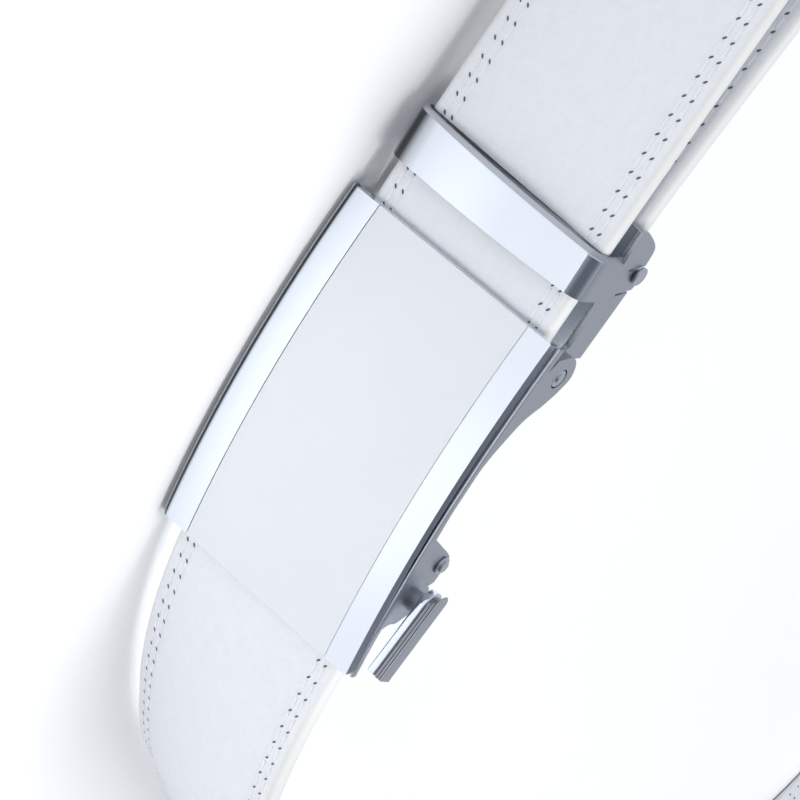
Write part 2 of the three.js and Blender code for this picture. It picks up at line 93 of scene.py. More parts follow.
TO_CLAMP = TO_BELT @ Matrix.Translation(HINGE) @ Matrix.Rotation(CLAMP_TURN, 4, "Z")
CLAMP_HALF = 18.8
PAWL_PIN = Vector((0.311 * HALF_LENGTH, 6.2, 0))
LEVER_PIVOT = Vector((0.536 * HALF_LENGTH, 5.5, 0))
LEVER_TURN = math.radians(-12.5)
TO_LEVER = TO_BELT @ Matrix.Translation(LEVER_PIVOT) @ Matrix.Rotation(LEVER_TURN, 4, "Z")

# The strap's line, seen from above: run, length as a share of the loop's depth (of the tail's
# length in the tail), turn and lean in degrees. The two runs without a length close the loop.
LOOP_DEPTH = 400
TAIL_LENGTH = 150
STRAP_WIDTH = 35
STRAP_THICKNESS = 3.2
TIP_LENGTH = 16
TIP_ELLIPSE_END = math.radians(82)  # the tip's ellipse stops here, so that its end isn't a point
LEVEL_LENGTH = 60  # of strap at the buckle's height on each side of it
SETTLE_LENGTH = 260  # over which the strap then comes down to the surface
STRAP_STEP = 2.6  # between the sections that the strap is drawn from
BACK_FACE_UV = 60  # keeps the grain of the strap's two faces apart
FIRST_STITCH = 4
STITCH_ENDS = 6  # left free of the straight rows at their two ends together
TIP_ROW = 26  # length of a stitch row round half of the tip
CLAMP_LENGTH = 24.4
HELD_LENGTH = 18.4
WAIST_RUNS = [
    ("clamp end", 0.02, -11, 0),
    ("beside the tail", 0.105, -1.5, 0),
    ("left hip", 0.375, -98.5, 0),
    ("left side", None, 0, 0),
    ("back left", 0.25, -27, 0),
    ("back", None, 0, 0),
    ("back right", 0.26, -141, 0),
    ("right side", 0.64, 0, 4),
    ("right hip", 0.1, -22, 8),
    ("front right", 0.15, -5, 14),
    ("shoulder", 0.05, -18, 13),
    ("plate end", 0.1, -27, 1),
]
TAIL_RUNS = [
    ("to the keeper", 0.11, -1.2, 0),
    ("past the keeper", 0.27, -1.8, 0),
    ("free end", 0.62, -44, 0),
]
PLATE_SAG = 0.053 * HALF_LENGTH
ENTRY = Vector((HALF_LENGTH, PLATE_THICKNESS + 0.35 + STRAP_THICKNESS / 2))


class BeltSizes(bpy.types.PropertyGroup):
    """Sizes that a user would change, in millimetres unless they say otherwise."""

    edge_radius: bpy.props.FloatProperty(
        name="Strap Edge Radius", description="Rounding of the strap's painted edge", default=1.25
    )
    stitch_pitch: bpy.props.FloatProperty(
        name="Stitch Pitch", description="From one stitch hole to the next", default=3.25
    )
    outer_row: bpy.props.FloatProperty(
        name="Outer Stitch Row", description="Outer row of stitches from the strap's edge", default=2.25
    )
    row_gap: bpy.props.FloatProperty(
        name="Stitch Row Gap", description="Between the two rows of stitches", default=1.45
    )
    thread_width: bpy.props.FloatProperty(
        name="Thread Width", description="Width of the sewing thread", default=0.46
    )
    hole_length: bpy.props.FloatProperty(
        name="Hole Length", description="Length of a slanted stitch hole", default=0.85
    )
    hole_width: bpy.props.FloatProperty(
        name="Hole Width", description="Width of a slanted stitch hole", default=0.36
    )
    corner_radius: bpy.props.FloatProperty(
        name="Plate Corner", description="Rounding of the plate's lower right corner", default=1.3
    )
    plate_bevel: bpy.props.FloatProperty(
        name="Plate Bevel", description="Polished bevel along the plate's long edges", default=0.55
    )
    keeper_crown: bpy.props.FloatProperty(
        name="Keeper Crown", description="How far the keeper's bar bows outwards", default=1.1
    )


class BeltColours(bpy.types.PropertyGroup):
    """Colours of the belt's finishes."""

    leather: bpy.props.FloatVectorProperty(
        name="Leather", description="Face of the strap", subtype="COLOR", size=3,
        default=(0.82, 0.832, 0.862),
    )
    edge: bpy.props.FloatVectorProperty(
        name="Edge Paint", description="Painted edge of the strap", subtype="COLOR", size=3,
        default=(0.78, 0.785, 0.77),
    )
    thread: bpy.props.FloatVectorProperty(
        name="Thread", description="Sewing thread", subtype="COLOR", size=3,
        default=(0.88, 0.89, 0.92),
    )
    chrome: bpy.props.FloatVectorProperty(
        name="Chrome", description="Polished metal", subtype="COLOR", size=3,
        default=(0.78, 0.83, 0.89),
    )
    casting: bpy.props.FloatVectorProperty(
        name="Casting", description="Matte metal of the castings", subtype="COLOR", size=3,
        default=(0.50, 0.52, 0.57),
    )
    inlay: bpy.props.FloatVectorProperty(
        name="Inlay", description="Satin panel on the plate", subtype="COLOR", size=3,
        default=(0.79, 0.81, 0.84),
    )
    track: bpy.props.FloatVectorProperty(
        name="Track", description="Moulded toothed track", subtype="COLOR", size=3,
        default=(0.68, 0.69, 0.72),
    )


# Materials


def new_material(name, color, roughness, metallic=0.0):
    material = bpy.data.materials.new(name)
    material.use_nodes = True
    shader = material.node_tree.nodes["Principled BSDF"]
    shader.inputs["Base Color"].default_value = (*color, 1)
    shader.inputs["Roughness"].default_value = roughness
    shader.inputs["Metallic"].default_value = metallic
    return material, material.node_tree, shader


def add_node(tree, kind, **inputs):
    node = tree.nodes.new(kind)
    for name, value in inputs.items():
        node.inputs[name.replace("_", " ")].default_value = value
    return node


def noise(tree, vector, scale, detail=3.0):
    node = add_node(tree, "ShaderNodeTexNoise", Scale=scale, Detail=detail)
    tree.links.new(vector, node.inputs["Vector"])
    return node.outputs["Fac"]


def spread(tree, value, low, high):
    node = tree.nodes.new("ShaderNodeMapRange")
    node.inputs["To Min"].default_value = low
    node.inputs["To Max"].default_value = high
    tree.links.new(value, node.inputs["Value"])
    return node.outputs["Result"]


def bump(tree, shader, height, strength, distance):
    node = add_node(tree, "ShaderNodeBump", Strength=strength, Distance=distance)
    tree.links.new(height, node.inputs["Height"])
    tree.links.new(node.outputs["Normal"], shader.inputs["Normal"])


def tint(tree, shader, value, low, high):
    ramp = tree.nodes.new("ShaderNodeValToRGB")
    ramp.color_ramp.elements[0].color = (*low, 1)
    ramp.color_ramp.elements[1].color = (*high, 1)
    tree.links.new(value, ramp.inputs["Fac"])
    tree.links.new(ramp.outputs["Color"], shader.inputs["Base Color"])


def shade(color, factor):
    return tuple(min(1.0, channel * factor) for channel in color)


def leather_material(color):
    """Fine-grained white leather: a pebbled grain with faint wrinkles, in strap coordinates, its
    hollows tinted darker as painted shade together with the leather's own uneven tone.
    """
    material, tree, shader = new_material("white_leather", color, 0.5)
    shader.inputs["Specular IOR Level"].default_value = 0.35
    place = tree.nodes.new("ShaderNodeUVMap")
    place.uv_map = "strap_mm"
    uv = place.outputs["UV"]
    cells = add_node(tree, "ShaderNodeTexVoronoi", Scale=1.7)
    cells.feature = "SMOOTH_F1"
    tree.links.new(uv, cells.inputs["Vector"])
    grain = spread(tree, cells.outputs["Distance"], 0.0, 0.6)
    wrinkle = noise(tree, uv, 0.35, 5.0)
    both = tree.nodes.new("ShaderNodeMath")
    both.operation = "ADD"
    tree.links.new(grain, both.inputs[0])
    tree.links.new(wrinkle, both.inputs[1])
    bump(tree, shader, both.outputs["Value"], 0.9, 0.0001)
    # painted shade: the grain's hollows are tinted darker, together with the leather's own random tone
    tint(tree, shader, both.outputs["Value"], shade(color, 0.95), shade(color, 1.02))
    tree.links.new(spread(tree, wrinkle, 0.42, 0.62), shader.inputs["Roughness"])
    return material


def painted_edge_material(color):
    material, tree, shader = new_material("edge_paint", color, 0.38)
    place = tree.nodes.new("ShaderNodeUVMap")
    place.uv_map = "strap_mm"
    uv = place.outputs["UV"]
    bump(tree, shader, noise(tree, uv, 0.5, 2.0), 0.2, 0.00015)
    tint(tree, shader, noise(tree, uv, 0.12, 3.0), shade(color, 0.95), shade(color, 1.03))
    return material


def object_material(name, color, roughness, metallic, grain, depth, uneven=0.04):
    """A hard finish with fine grain, and colour and gloss that vary a little over the surface."""
    material, tree, shader = new_material(name, color, roughness, metallic)
    place = tree.nodes.new("ShaderNodeTexCoord").outputs["Object"]
    bump(tree, shader, noise(tree, place, grain, 2.0), 0.3, depth)
    broad = noise(tree, place, 90.0, 3.0)
    tint(tree, shader, broad, shade(color, 1 - uneven), shade(color, 1 + uneven))
    rough = spread(tree, broad, roughness * 0.85, roughness * 1.15)
    tree.links.new(rough, shader.inputs["Roughness"])
    return material


def painted_shade_chrome_material(name, color, steps):
    """Polished metal with painted shade towards its lower edge, a painted reflection of the shaded
    floor below it; steps are (height in mm, shade).
    """
    material = object_material(name, color, 0.07, 1.0, 400.0, 0.000004, 0.02)
    tree = material.node_tree
    shader = tree.nodes["Principled BSDF"]
    place = tree.nodes.new("ShaderNodeTexCoord").outputs["Object"]
    parts = tree.nodes.new("ShaderNodeSeparateXYZ")
    tree.links.new(place, parts.inputs["Vector"])
    level = tree.nodes.new("ShaderNodeMapRange")
    level.inputs["From Min"].default_value = BUCKLE_ORIGIN.z + steps[0][0] * MM
    level.inputs["From Max"].default_value = BUCKLE_ORIGIN.z + steps[-1][0] * MM
    tree.links.new(parts.outputs["Z"], level.inputs["Value"])
    ramp = tree.nodes.new("ShaderNodeValToRGB")
    span = steps[-1][0] - steps[0][0]
    while len(ramp.color_ramp.elements) < len(steps):
        ramp.color_ramp.elements.new(0.5)
    for element, (height, tone) in zip(ramp.color_ramp.elements, steps):
        element.position = (height - steps[0][0]) / span
        element.color = (*shade(color, tone), 1)
    tree.links.new(level.outputs["Result"], ramp.inputs["Fac"])
    tree.links.new(ramp.outputs["Color"], shader.inputs["Base Color"])
    return material


def thread_material(color):
    material, tree, shader = new_material("thread", color, 0.7)
    place = tree.nodes.new("ShaderNodeTexCoord").outputs["Object"]
    bump(tree, shader, noise(tree, place, 5000.0, 2.0), 0.5, 0.00008)
    tint(tree, shader, noise(tree, place, 800.0, 2.0), shade(color, 0.92), shade(color, 1.04))
    return material


def materials():
    """Makes each finish once and returns them by name."""
    colours = bpy.context.scene.belt_colours
    if "chrome" not in bpy.data.materials:
        leather_material(colours.leather)
        painted_edge_material(colours.edge)
        thread_material(colours.thread)
        # painted shade: the stitch holes are dark dishes standing in for the shadow inside each hole
        object_material("stitch_hole", (0.12, 0.13, 0.16), 0.9, 0.0, 3000.0, 0.00005, 0.3)
        object_material("chrome", colours.chrome, 0.07, 1.0, 400.0, 0.000004, 0.02)
        # painted shade: the plate's lower bevel and the keeper's lower corner are darkened in colour,
        # standing in for their reflection of the shaded floor
        painted_shade_chrome_material(
            "plate_chrome", colours.chrome, [(0.6, 0.08), (1.2, 0.09), (1.45, 0.8), (1.75, 1.0)]
        )
        painted_shade_chrome_material(
            "keeper_chrome", colours.chrome,
            [(2.0, 0.55), (2.8, 0.35), (3.4, 0.08), (4.2, 0.1), (5.4, 0.7), (7.2, 1.0)],
        )
        object_material("casting", colours.casting, 0.36, 1.0, 2600.0, 0.00002, 0.06)
        # painted shade: a darker copy of the casting for the lever's grip band
        object_material("grip", shade(colours.casting, 0.62), 0.3, 1.0, 1500.0, 0.00002, 0.08)
        object_material(
            "satin_chrome", shade(colours.chrome, 0.95), 0.38, 1.0, 900.0, 0.000006, 0.03
        )
        object_material("pin_steel", shade(colours.chrome, 0.72), 0.2, 1.0, 900.0, 0.00001, 0.05)
        object_material("inlay", colours.inlay, 0.42, 0.0, 3500.0, 0.000012, 0.015)
        object_material("moulded_track", colours.track, 0.45, 0.0, 2500.0, 0.00002, 0.04)
    return bpy.data.materials


# Mesh helpers


def plate_face(x, depth):
    """The y of the plate's bowed face, sunk by a depth."""
    return PLATE_RADIUS - PLATE_RISE - math.sqrt((PLATE_RADIUS - depth) ** 2 - x * x)


def outline_edges(bm, points, height):
    """A closed line through points in x and y at one height."""
    verts = [bm.verts.new((x, y, height)) for x, y in points]
    return [bm.edges.new(pair) for pair in zip(verts, verts[1:] + verts[:1])]


def prism(bm, points, low, high, holes=()):
    """A solid with that outline between two heights; holes are (x, y, radius)."""
    edges = outline_edges(bm, points, low)
    for x, y, radius in holes:
        turns = [math.tau * k / 32 for k in range(32)]
        rim = [(x + radius * math.cos(a), y + radius * math.sin(a)) for a in turns]
        edges += outline_edges(bm, rim, low)
    if holes:
        made = bmesh.ops.triangle_fill(bm, edges=edges, use_beauty=True, use_dissolve=False)
        faces = [f for f in made["geom"] if isinstance(f, bmesh.types.BMFace)]
    else:
        faces = bmesh.ops.edgeloop_fill(bm, edges=edges)["faces"]
    top = bmesh.ops.extrude_face_region(bm, geom=faces)["geom"]
    verts = [v for v in top if isinstance(v, bmesh.types.BMVert)]
    bmesh.ops.translate(bm, verts=verts, vec=(0, 0, high - low))


def join_into(bm, part, finish=0):
    """Adds a part to a piece, with one of the piece's finishes."""
    for face in part.faces:
        face.material_index = finish
    mesh = bpy.data.meshes.new("part")
    part.to_mesh(mesh)
    part.free()
    bm.from_mesh(mesh)
    bpy.data.meshes.remove(mesh)


def disc(bm, x, y, low, high, radius, sides=40):
    """A round pin or boss that stands along Z."""
    bmesh.ops.create_cone(
        bm, cap_ends=True, segments=sides, radius1=radius, radius2=radius, depth=high - low,
        matrix=Matrix.Translation((x, y, (low + high) / 2)),
    )


def smooth_outline(points, steps=5):
    """A Catmull-Rom curve through an open row of points."""
    rows = [Vector(p) for p in points]
    rows = [rows[0] * 2 - rows[1], *rows, rows[-1] * 2 - rows[-2]]
    curve = []
    for a, b, c, d in zip(rows, rows[1:], rows[2:], rows[3:]):
        for k in range(steps):
            t = k / steps
            curve.append(
                0.5 * (2 * b + (c - a) * t + (2 * a - 5 * b + 4 * c - d) * t**2
                       + (3 * b - a - 3 * c + d) * t**3)
            )
    return [tuple(p) for p in [*curve, rows[-2]]]


def soften(bm, width, segments=2, above=35, from_y=None):
    """Rounds every edge sharper than an angle, in degrees, or only those past a y."""
    bmesh.ops.recalc_face_normals(bm, faces=bm.faces)
    sharp = [
        e for e in bm.edges
        if len(e.link_faces) == 2 and e.calc_face_angle(0) > math.radians(above)
        and (from_y is None or any(v.co.y > from_y for v in e.verts))
    ]
    bmesh.ops.bevel(
        bm, geom=sharp, offset=width, offset_type="OFFSET", segments=segments, profile=0.5,
        affect="EDGES", clamp_overlap=True, material=-1,
    )


def slice_along(bm, step, low, high):
    """Cuts the mesh across x at even steps so that it can be bowed."""
    count = int((high - low) / step)
    for k in range(1, count):
        x = low + (high - low) * k / count
        geom = [*bm.verts, *bm.edges, *bm.faces]
        bmesh.ops.bisect_plane(bm, geom=geom, plane_co=(x, 0, 0), plane_no=(1, 0, 0))


def bow(bm):
    """Lays a flat piece, whose y is its depth, on the plate's bowed face."""
    for v in bm.verts:
        v.co.y = plate_face(v.co.x, v.co.y)


def finish_piece(bm, name, place, finishes, body, nodes=(), angle=32, hard=True):
    """Turns a mesh into a finished piece at the origin that rides on its body."""
    bmesh.ops.transform(bm, matrix=place, verts=bm.verts)
    mesh = bpy.data.meshes.new(name)
    bm.to_mesh(mesh)
    bm.free()
    for finish in finishes:
        mesh.materials.append(materials()[finish])
    mesh.polygons.foreach_set("use_smooth", [True] * len(mesh.polygons))
    mesh.set_sharp_from_angle(angle=math.radians(angle))
    piece = bpy.data.objects.new(name, mesh)
    bpy.context.scene.collection.objects.link(piece)
    if hard:
        flats = piece.modifiers.new("flat faces", "WEIGHTED_NORMAL")
        flats.keep_sharp = True
    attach(piece, body)
    if nodes:
        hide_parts(*nodes)


# The strap's line


def arc_step(start, heading, length, turn):
    chord = length if abs(turn) < 1e-9 else length * math.sin(turn / 2) / (turn / 2)
    aim = heading + turn / 2
    return start + Vector((math.cos(aim), math.sin(aim))) * chord


def closed_runs(start, heading):
    """Solves the two open straights so that the loop ends at the buckle plate."""
    lengths = [(run[1] or 0) * LOOP_DEPTH for run in WAIST_RUNS]
    place, aim, opened = start, heading, []
    for i, (_, share, turn, _) in enumerate(WAIST_RUNS):
        if share is None:
            opened.append((i, Vector((math.cos(aim), math.sin(aim)))))
        place = arc_step(place, aim, lengths[i], math.radians(turn))
        aim += math.radians(turn)
    gap = ENTRY - place
    (i, a), (j, b) = opened
    cross = a.x * b.y - a.y * b.x
    lengths[i] = (gap.x * b.y - gap.y * b.x) / cross
    lengths[j] = (a.x * gap.y - a.y * gap.x) / cross
    return [(run[0], length, run[2], run[3]) for run, length in zip(WAIST_RUNS, lengths)]


def lay_strap():
    """The strap's runs in order, each with its start, heading and the lean before it."""
    under_floor = 1.5 + 1 + 0.8 + 0.1 + STRAP_THICKNESS / 2
    turned = Matrix.Rotation(CLAMP_TURN, 2) @ Vector((-(CLAMP_LENGTH - 2), under_floor))
    start = turned + HINGE.to_2d()
    heading = math.pi + CLAMP_TURN
    arch = PLATE_LENGTH * (1 + (2 / 3) * (PLATE_SAG / HALF_LENGTH) ** 2)
    rows = [
        ("in the clamp", HELD_LENGTH, 0, 0),
        *closed_runs(start, heading),
        ("under the plate", arch, -4 * math.degrees(math.atan(PLATE_SAG / HALF_LENGTH)), 0),
        *[(name, share * TAIL_LENGTH, turn, lean) for name, share, turn, lean in TAIL_RUNS],
    ]
    place = arc_step(start, heading, -HELD_LENGTH, 0)
    aim, travelled, before, laid = heading, 0.0, 0.0, []
    for name, length, turn, lean in rows:
        turn = math.radians(turn)
        laid.append((name, travelled, length, place, aim, turn, before, lean))
        place = arc_step(place, aim, length, turn)
        aim, travelled, before = aim + turn, travelled + length, lean
    return laid


STRAP_RUNS = lay_strap()
STRAP_LENGTH = STRAP_RUNS[-1][1] + STRAP_RUNS[-1][2]
UNDER_PLATE = next(run[1] for run in STRAP_RUNS if run[0] == "under the plate")


def strap_height(travelled):
    """Level at the buckle, and down on the surface at the back."""
    away = min(travelled - HELD_LENGTH, UNDER_PLATE - travelled)
    t = min(1.0, max(0.0, (away - LEVEL_LENGTH) / SETTLE_LENGTH))
    settled = t * t * (3 - 2 * t)
    return MIDDLE_Z + (STRAP_WIDTH / 2 - MIDDLE_Z) * settled


def strap_frame(travelled):
    """The strap's place, its direction of travel, and its directions across and out."""
    _, start, length, place, aim, turn, before, lean = [
        run for run in STRAP_RUNS if run[1] <= travelled + 1e-6
    ][-1]
    share = (travelled - start) / length if length else 0
    flat = arc_step(place, aim, share * length, share * turn)
    aim += share * turn
    tilt = math.radians(before + (lean - before) * share)
    out = Vector((-math.sin(aim), math.cos(aim), 0))
    up = Vector((0, 0, 1))
    across = up * math.cos(tilt) + out * math.sin(tilt)
    normal = out * math.cos(tilt) - up * math.sin(tilt)
    along = Vector((math.cos(aim), math.sin(aim), 0))
    return Vector((flat.x, flat.y, strap_height(travelled))), along, across, normal


def tip_width(travelled):
    """The strap's half width, which closes in an ellipse at the free end."""
    run_in = (travelled - (STRAP_LENGTH - TIP_LENGTH)) / TIP_LENGTH
    if run_in <= 0:
        return STRAP_WIDTH / 2
    closed = run_in * math.sin(TIP_ELLIPSE_END)
    return STRAP_WIDTH / 2 * math.sqrt(max(0.0, 1 - closed**2))


def strap_quarter(sizes):
    """A quarter of the strap's section, edge to middle, as (from the edge, out) pairs."""
    n = STRAP_THICKNESS / 2
    r = sizes.edge_radius
    quarter = [(r * (1 - math.cos(a)), n - r + r * math.sin(a))
               for a in [math.radians(k * 18) for k in range(1, 6)]]
    first, second = sizes.outer_row, sizes.outer_row + sizes.row_gap
    sunk, groove, brink = 0.13, 0.45, 0.02
    for row in (first, second):
        quarter += [(row - groove, n - brink), (row - groove / 3, n - sunk),
                    (row + groove / 3, n - sunk), (row + groove, n - brink)]
    quarter += [(second + 1.6, n), (second + 5, n), (second + 9, n), (STRAP_WIDTH / 2, n)]
    return quarter


class BELT_OT_strap(bpy.types.Operator):
    """Model the leather strap with its painted edges"""

    bl_idname = "belt.strap"
    bl_label = "Strap"

    def execute(self, context):
        quarter = strap_quarter(context.scene.belt_sizes)
        half = [(0.0, 0.0), *quarter]
        upper = [*[(d, n, 1) for d, n in half], *[(d, n, -1) for d, n in half[-2::-1]]]
        lower = [(d, -n, s) for d, n, s in upper[-2:0:-1]]
        ring = upper + lower
        stops = int(STRAP_LENGTH / STRAP_STEP)
        travel = [STRAP_LENGTH * k / stops for k in range(stops + 1)]
        bm = bmesh.new()
        bmesh.ops.create_grid(bm, x_segments=stops, y_segments=len(ring), size=1)
        uv = bm.loops.layers.uv.new("strap_mm")
        cells = {}
        for v in bm.verts:
            i = round((v.co.x + 1) / 2 * stops)
            j = round((v.co.y + 1) / 2 * len(ring))
            cells[v] = (i, j)
        for v, (i, j) in cells.items():
            d, n, side = ring[j % len(ring)]
            width = tip_width(travel[i])
            place, _, across, normal = strap_frame(travel[i])
            w = -side * max(0.0, width - d * width / (STRAP_WIDTH / 2))
            v.co = place + across * w + normal * n
        painted = {
            *range(4), *range(len(upper) - 5, len(upper) + 4), *range(len(ring) - 5, len(ring)),
        }
        for face in bm.faces:
            face.material_index = int(min(cells[v][1] for v in face.verts) in painted)
            for loop in face.loops:
                i, j = cells[loop.vert]
                d, n, side = ring[j % len(ring)]
                apart = BACK_FACE_UV if n < 0 else 0
                loop[uv].uv = (travel[i], -side * (STRAP_WIDTH / 2 - d) + apart)
        bmesh.ops.remove_doubles(bm, verts=bm.verts, dist=1e-5)
        bmesh.ops.holes_fill(bm, edges=[e for e in bm.edges if e.is_boundary], sides=0)
        bmesh.ops.recalc_face_normals(bm, faces=bm.faces)
        finish_piece(
            bm, "stitched_strap", TO_BELT, ["white_leather", "edge_paint"], "belt",
            ["strap"], angle=50, hard=False,
        )
        return {"FINISHED"}


def stitch_places(sizes):
    """Each stitch hole's travel and place across the strap, row by row."""
    half = STRAP_WIDTH / 2
    rows = [sizes.outer_row, sizes.outer_row + sizes.row_gap]
    end = STRAP_LENGTH - TIP_LENGTH
    count = int((end - STITCH_ENDS) / sizes.stitch_pitch)
    for side in (-1, 1):
        for inset in rows:
            for k in range(count):
                yield FIRST_STITCH + k * sizes.stitch_pitch, side * (half - inset)
    # the two rows run round the free end
    for inset in rows:
        for side in (-1, 1):
            arc = 0.0
            while arc < 1:
                angle = arc * math.pi / 2
                travelled = end + (TIP_LENGTH - inset) * math.sin(angle)
                yield travelled, side * (half - inset) * math.cos(angle)
                arc += sizes.stitch_pitch / TIP_ROW


def strap_matrix(travelled, across_by, face, turn, lift):
    """Places a small shape, drawn along x and y, on the strap's face."""
    place, along, across, normal = strap_frame(travelled)
    out = normal * face
    spot = place + across * across_by + out * (STRAP_THICKNESS / 2 + lift)
    basis = Matrix((along, across, out)).transposed().to_4x4()
    return Matrix.Translation(spot) @ basis @ Matrix.Rotation(turn, 4, "Z")


def small_shape(bm):
    """A mesh of its own to copy many times."""
    bmesh.ops.recalc_face_normals(bm, faces=bm.faces)
    mesh = bpy.data.meshes.new("small_shape")
    bm.to_mesh(mesh)
    bm.free()
    return mesh


def copy_into(bm, mesh, matrix):
    placed = mesh.copy()
    placed.transform(matrix)
    bm.from_mesh(placed)
    bpy.data.meshes.remove(placed)


def thread_shape(sizes):
    """One visible stitch: a short bar with a rounded back."""
    bm = bmesh.new()
    bar = bmesh.ops.create_cube(bm, size=1)["verts"]
    bmesh.ops.scale(bm, vec=(sizes.stitch_pitch * 0.66, sizes.thread_width, 0.3), verts=bar)
    top = [e for e in bm.edges if all(v.co.z > 0 for v in e.verts)]
    bmesh.ops.bevel(
        bm, geom=top, offset=0.16, offset_type="OFFSET", segments=2, profile=0.5,
        affect="EDGES", clamp_overlap=True, material=-1,
    )
    return small_shape(bm)


def hole_shade_disc(sizes):
    """One slanted stitch hole: a shallow dark dish, painted shade that stands in for the shadow inside
    the hole.
    """
    bm = bmesh.new()
    dish = bmesh.ops.create_circle(bm, cap_ends=True, segments=8, radius=0.5)["verts"]
    bmesh.ops.scale(bm, vec=(sizes.hole_length, sizes.hole_width, 1), verts=dish)
    return small_shape(bm)


class BELT_OT_stitches(bpy.types.Operator):
    """Sew the double rows of stitches along both edges"""

    bl_idname = "belt.stitches"
    bl_label = "Stitches"

    def execute(self, context):
        sizes = context.scene.belt_sizes
        thread, hole = thread_shape(sizes), hole_shade_disc(sizes)
        threads, holes = bmesh.new(), bmesh.new()
        for travelled, across_by in stitch_places(sizes):
            for face in (1, -1):
                slant = math.radians(38 if across_by > 0 else -38) * face
                middle = min(travelled + sizes.stitch_pitch / 2, STRAP_LENGTH - 0.5)
                copy_into(threads, thread, strap_matrix(middle, across_by, face, 0.0, -0.12))
                # each hole is a dark dish of painted shade
                copy_into(holes, hole, strap_matrix(travelled, across_by, face, slant, -0.085))
        bpy.data.meshes.remove(thread)
        bpy.data.meshes.remove(hole)
        for bm, name, finish in (
            (threads, "stitch_threads", "thread"), (holes, "stitch_holes", "stitch_hole"),
        ):
            finish_piece(bm, name, TO_BELT, [finish], "belt", hard=False)
        return {"FINISHED"}


class BELT_OT_plate(bpy.types.Operator):
    """Model the bowed buckle plate and its satin inlay"""

    bl_idname = "belt.plate"
    bl_label = "Buckle Plate"

    def execute(self, context):
        sizes = context.scene.belt_sizes
        low, high, bevel = 0.6, HEIGHT - 0.9, sizes.plate_bevel
        half_panel = PANEL_WIDTH / 2
        a, b = -HALF_LENGTH, HALF_LENGTH
        base, top = MIDDLE_Z - half_panel, MIDDLE_Z + half_panel
        # the plate's section, height by depth, with the panel's shallow bed in its face
        section = [
            (low, PLATE_THICKNESS), (low, bevel), (low + bevel, 0), (base - 0.1, 0),
            (base - 0.1, 0.6), (top + 0.1, 0.6), (top + 0.1, 0), (high - bevel, 0),
            (high, bevel), (high, PLATE_THICKNESS),
        ]
        bm = self.drawn_along(section, a, b)
        radius = sizes.corner_radius
        for turn in (10, 27, 45, 63, 80):
            away = Vector((math.cos(math.radians(turn)), 0, math.sin(math.radians(turn))))
            spot = Vector((b - radius, 0, high - radius)) + away * radius
            geom = [*bm.verts, *bm.edges, *bm.faces]
            bmesh.ops.bisect_plane(bm, geom=geom, plane_co=spot, plane_no=away, clear_outer=True)
            bmesh.ops.holes_fill(bm, edges=[e for e in bm.edges if e.is_boundary], sides=0)
        soften(bm, 0.07, 2, 25)
        slice_along(bm, SLICE_STEP, a, b)
        bow(bm)
        # the plate's chrome carries painted shade along its lower bevel
        finish_piece(
            bm, "polished_plate", TO_BELT, ["plate_chrome"], "belt",
            ["face_plate"], angle=24,
        )

        bm = self.drawn_along([(base, 0), (top, 0), (top, 0.5), (base, 0.5)], a, b)
        soften(bm, 0.08, 2, 60)
        slice_along(bm, SLICE_STEP, a, b)
        bow(bm)
        finish_piece(bm, "satin_panel", TO_BELT, ["inlay"], "belt", ["face_inlay"])
        return {"FINISHED"}

    def drawn_along(self, section, start, end):
        """A bar along x with a section given as (height, depth)."""
        bm = bmesh.new()
        prism(bm, section, start, end)
        swap = Matrix(((0, 0, 1, 0), (0, 1, 0, 0), (1, 0, 0, 0), (0, 0, 0, 1)))
        bmesh.ops.transform(bm, matrix=swap, verts=bm.verts)
        bmesh.ops.recalc_face_normals(bm, faces=bm.faces)
        return bm


WALL_OUTLINE = [
    (-0.72, 1), (-0.656, 0.756), (-0.573, 0.39), (-0.444, 0.134), (-0.325, -0.037),
    (-0.199, -0.085), (-0.05, -0.098), (0.129, -0.049), (0.152, 0.122), (0.189, 0.39),
    (0.232, 0.707), (0.272, 0.927), (0.318, 0.988), (0.427, 0.951), (0.45, 0.805),
    (0.47, 0.927), (0.536, 1), (0.609, 0.878), (0.639, 0.671), (0.672, 0.463),
    (0.669, 0.28), (0.685, 0.122), (0.715, 0.024),
]
WALL_DEPTH = 8.2
LEDGE_DEPTH = 2.0
UPPER_WALL_DROP = 0.75  # of the upper wall at the lever's end
# the hinge lug from its slanted front corner round to the wall, from the hinge axis
LUG_OUTLINE = [
    (-3.4, -3.5), (-3.65, -1.8), (-3.8, -0.1), (-3.4, 1.3), (-2.65, 2.35), (-1.2, 3.3),
    (0.6, 3.45), (2.87, 2.0),
]


def wall_points():
    """The side wall's outline: its smoothed rear edge and its bowed front edge."""
    rear = [(x * HALF_LENGTH, y * WALL_DEPTH) for x, y in WALL_OUTLINE]
    parts = [rear[:8], rear[7:14], rear[13:15], rear[14:]]
    curve = []
    for part in parts:
        curve += smooth_outline(part)[: None if part is parts[-1] else -1]
    end, start = rear[-1][0], -0.845 * HALF_LENGTH
    front = [(end + (start - end) * k / 24) for k in range(25)]
    edge = [(x, plate_face(x, LEDGE_DEPTH - 0.1)) for x in front]
    lug = [(HINGE.x + x, HINGE.y + y) for x, y in LUG_OUTLINE]
    return [*curve[4:], *edge, *smooth_outline(lug)]


def slab(bm, front, back, low, high, half):
    """A flat slab behind the plate, in depth from its face, ready to be bowed."""
    made = bmesh.ops.create_cube(bm, size=1)["verts"]
    bmesh.ops.scale(bm, vec=(2 * half, back - front, high - low), verts=made)
    bmesh.ops.translate(bm, vec=(0, (front + back) / 2, (low + high) / 2), verts=made)


